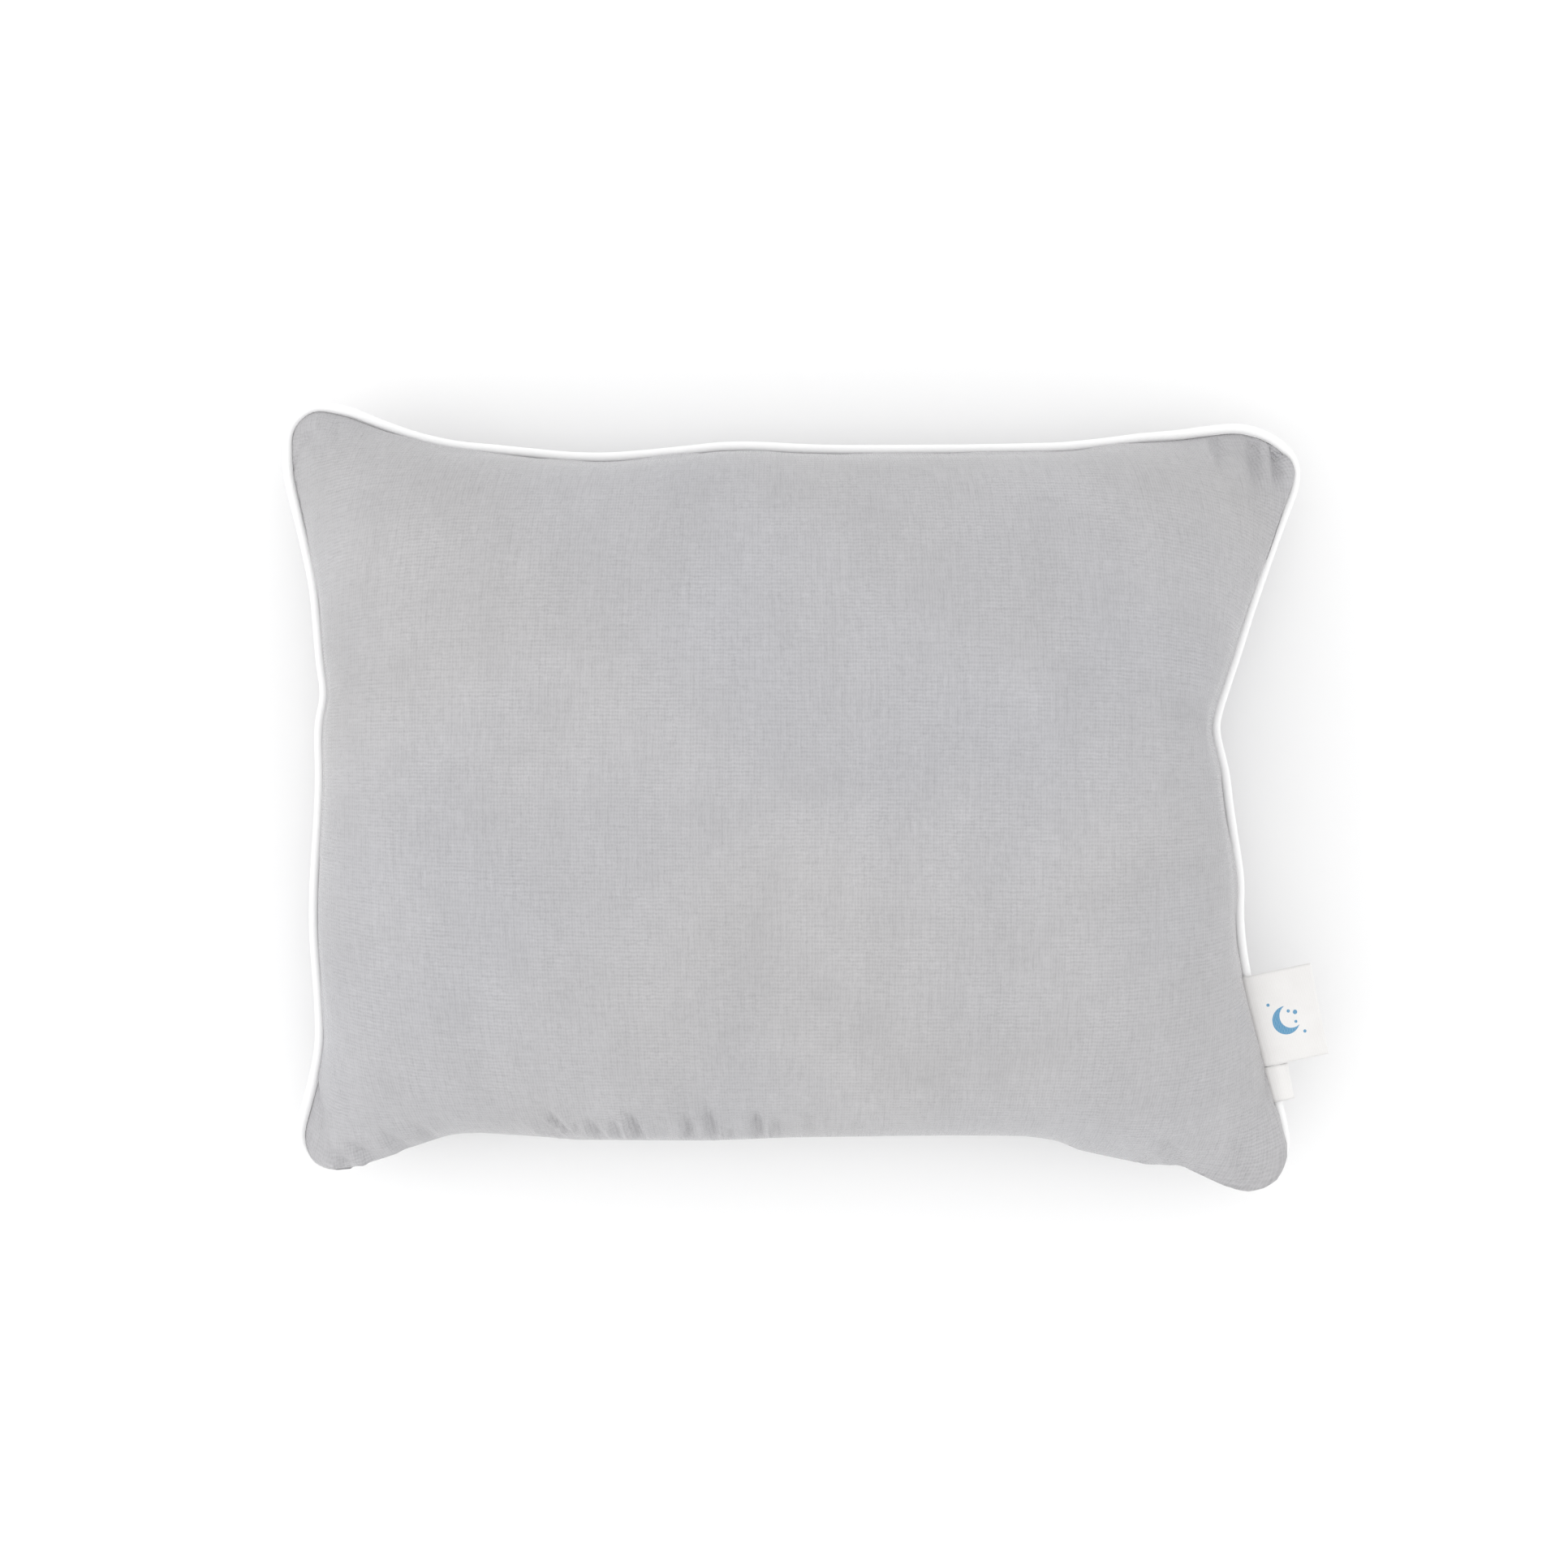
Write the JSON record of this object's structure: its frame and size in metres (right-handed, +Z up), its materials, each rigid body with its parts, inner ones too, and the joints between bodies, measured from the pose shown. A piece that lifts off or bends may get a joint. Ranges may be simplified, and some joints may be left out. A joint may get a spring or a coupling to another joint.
{
  "type": "bed pillow",
  "caption": "Small rectangular bed pillow: zipped cotton gauze cover with piped seam and two sewn-in labels, over a fibre-filled inner case.",
  "frame": {"origin": "middle of the flat patch that the pillow rests on, at z = 0", "axes": "+Z up through the crown, +X along the long side towards the labels, +Y along the short side away from the zip"},
  "size_m": [0.4409, 0.333, 0.105],
  "materials": {
    "cover_cloth": "light grey crinkled cotton gauze, matt, with fine ribs along the long side",
    "piping_cloth": "white cotton bias strip, matt",
    "piping_core": "undyed twisted cotton cord",
    "cover_thread": "grey polyester sewing thread, slight sheen",
    "case_cloth": "white plain-weave cotton, matt",
    "case_thread": "white overlock thread",
    "fibre_filling": "white siliconised hollow polyester fibre",
    "zip_tape": "light grey woven polyester tape",
    "zip_coil": "light grey nylon, satin",
    "zip_metal": "grey lacquered die-cast zinc, satin",
    "label_ribbon": "white woven satin ribbon, slight sheen"
  },
  "bodies": {
    "pillow": {"front_panel": "cover_cloth", "back_panel": "cover_cloth", "piping_cover": "piping_cloth", "piping_cord": "piping_core", "seam_needle_thread": "cover_thread", "seam_bobbin_thread": "cover_thread", "inner_case_thread": "case_thread", "inner_case_front": "case_cloth", "inner_case_back": "case_cloth", "filling": "fibre_filling", "zip_tape_upper": "zip_tape", "zip_tape_lower": "zip_tape", "zip_coil_upper": "zip_coil", "zip_coil_lower": "zip_coil", "zip_end_stops": "zip_coil", "zip_stitching": "cover_thread"},
    "slider": {"zip_slider": "zip_metal"},
    "pull_tab": {"zip_pull_tab": "zip_metal"},
    "brand_flap": {"brand_label": "label_ribbon"},
    "care_flap": {"care_label": "label_ribbon"}
  },
  "joints": [
    {"name": "zip_slide", "type": "slide", "parent": "pillow", "child": "slider", "axis": [1, 0, 0], "range_m": [-0.195, 0]},
    {"name": "pull_tab_swing", "type": "hinge", "parent": "slider", "child": "pull_tab", "pos_m": [0.0975, -0.1407, 0.0322], "axis": [0, 0, 1], "range_deg": [0, 170]},
    {"name": "brand_label_flap", "type": "hinge", "parent": "pillow", "child": "brand_flap", "pos_m": [0.19356, -0.09498, 0.038], "axis": [0.1994, -0.9799, 0], "range_deg": [-50, 70], "stiffness_Nm_per_rad": 0.0005, "deforming": ["brand_label"]},
    {"name": "care_label_flap", "type": "hinge", "parent": "pillow", "child": "care_flap", "pos_m": [0.20096, -0.12228, 0.038], "axis": [0.1994, -0.9799, 0], "range_deg": [-50, 70], "stiffness_Nm_per_rad": 0.0001, "deforming": ["care_label"]}
  ]
}
